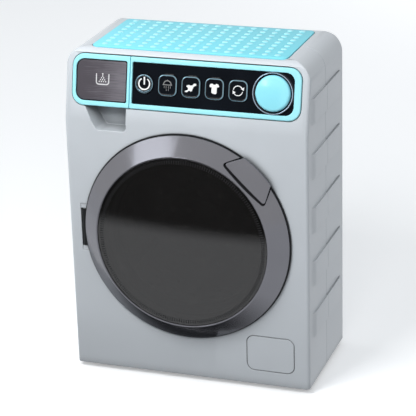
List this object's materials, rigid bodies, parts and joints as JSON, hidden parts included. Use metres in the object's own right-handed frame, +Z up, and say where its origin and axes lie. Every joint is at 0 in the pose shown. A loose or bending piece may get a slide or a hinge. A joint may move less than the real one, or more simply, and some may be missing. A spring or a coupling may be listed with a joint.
{
  "type": "toy washing machine",
  "caption": "Toy front-loading washing machine: hinged round door, turning perforated drum, pull-out drawer, leaning panel with push buttons and a dial, ribbed sides and a patterned top plate.",
  "frame": {"origin": "on the floor, under the middle of the machine's bounding box", "axes": "+X to the machine's right as seen from the front, +Y to the back, +Z up; the door and the control panel face -Y"},
  "size_m": [0.189, 0.1086, 0.2557],
  "materials": {
    "shell_grey": "satin moulded plastic with a fine even grain",
    "turquoise": "smooth moulded plastic, soft gloss",
    "satin_black": "black plastic with a low sheen",
    "gloss_black": "high-gloss black plastic",
    "bright_trim": "thin bright plating",
    "brushed_plate": "dark grey film with a brushed, streaky print",
    "door_grey": "smooth dark grey plastic with a faint metallic sheen",
    "smoked_window": "smoked clear plastic, high gloss",
    "rubber_grey": "soft matt rubber",
    "speaker_black": "matt black",
    "inner_white": "plain moulded plastic",
    "drum_silver": "silver-grey moulded plastic",
    "steel": "zinc-plated steel",
    "contact_metal": "plated spring metal",
    "board_green": "lacquered circuit board"
  },
  "bodies": {
    "cabinet": {"front_shell": "shell_grey", "rear_shell": "shell_grey", "top_panel": "turquoise", "feet": "rubber_grey", "case_screws": "steel", "control_frame": "turquoise", "control_fascia": "gloss_black", "dial_ring": "bright_trim", "circuit_board": "board_green", "drawer_bay": "shell_grey", "hinge_bracket": "shell_grey", "hinge_pin": "steel", "latch_catch": "inner_white", "tub": "inner_white", "door_seal": "rubber_grey", "idler_axle": "steel", "motor_can": "steel", "gearbox_plate": "inner_white", "battery_door": "shell_grey", "battery_screw": "steel", "battery_contacts": "contact_metal", "speaker": "speaker_black"},
    "door": {"door_ring": "door_grey", "door_window": "smoked_window", "door_back": "satin_black", "door_handle": "door_grey", "door_hinge_arm": "satin_black", "door_tongue": "door_grey", "door_screws": "steel"},
    "drawer": {"drawer_front": "turquoise", "drawer_plate": "brushed_plate", "drawer_tray": "turquoise"},
    "power": {"power_button": "gloss_black"},
    "program_1": {"program_button_1": "gloss_black"},
    "program_2": {"program_button_2": "gloss_black"},
    "program_3": {"program_button_3": "gloss_black"},
    "program_4": {"program_button_4": "gloss_black"},
    "dial": {"dial_knob": "turquoise", "dial_shaft": "inner_white"},
    "drum": {"drum": "drum_silver", "drum_shaft": "steel", "drum_gear": "inner_white"},
    "idler": {"idler_gear": "inner_white"},
    "pinion": {"motor_pinion": "inner_white"}
  },
  "joints": [
    {"name": "door_swing", "type": "hinge", "parent": "cabinet", "child": "door", "pos_m": [-0.0812, -0.03945, 0.117], "axis": [0, 0, -1], "range_deg": [0, 90]},
    {"name": "drawer_slide", "type": "slide", "parent": "cabinet", "child": "drawer", "axis": [0, -1, 0], "range_m": [0, 0.036]},
    {"name": "power_press", "type": "slide", "parent": "cabinet", "child": "power", "axis": [0, 0.9763, -0.2164], "range_m": [0, 0.0012], "stiffness_N_per_m": 500, "springref_m": -0.0008},
    {"name": "program_1_press", "type": "slide", "parent": "cabinet", "child": "program_1", "axis": [0, 0.9763, -0.2164], "range_m": [0, 0.0012], "stiffness_N_per_m": 500, "springref_m": -0.0008},
    {"name": "program_2_press", "type": "slide", "parent": "cabinet", "child": "program_2", "axis": [0, 0.9763, -0.2164], "range_m": [0, 0.0012], "stiffness_N_per_m": 500, "springref_m": -0.0008},
    {"name": "program_3_press", "type": "slide", "parent": "cabinet", "child": "program_3", "axis": [0, 0.9763, -0.2164], "range_m": [0, 0.0012], "stiffness_N_per_m": 500, "springref_m": -0.0008},
    {"name": "program_4_press", "type": "slide", "parent": "cabinet", "child": "program_4", "axis": [0, 0.9763, -0.2164], "range_m": [0, 0.0012], "stiffness_N_per_m": 500, "springref_m": -0.0008},
    {"name": "dial_turn", "type": "hinge", "parent": "cabinet", "child": "dial", "pos_m": [0.0664, -0.03422, 0.231], "axis": [0, -0.9763, 0.2164], "continuous": true},
    {"name": "drum_spin", "type": "hinge", "parent": "cabinet", "child": "drum", "pos_m": [0, 0, 0.117], "axis": [0, -1, 0], "continuous": true},
    {"name": "idler_spin", "type": "hinge", "parent": "cabinet", "child": "idler", "pos_m": [0.02364, 0, 0.13547], "axis": [0, -1, 0], "continuous": true},
    {"name": "pinion_spin", "type": "hinge", "parent": "cabinet", "child": "pinion", "pos_m": [0.02985, 0, 0.15865], "axis": [0, -1, 0], "continuous": true}
  ],
  "couplings": [
    {"joint": "idler_spin", "follows": "drum_spin", "ratio": -4},
    {"joint": "pinion_spin", "follows": "drum_spin", "ratio": 12}
  ]
}
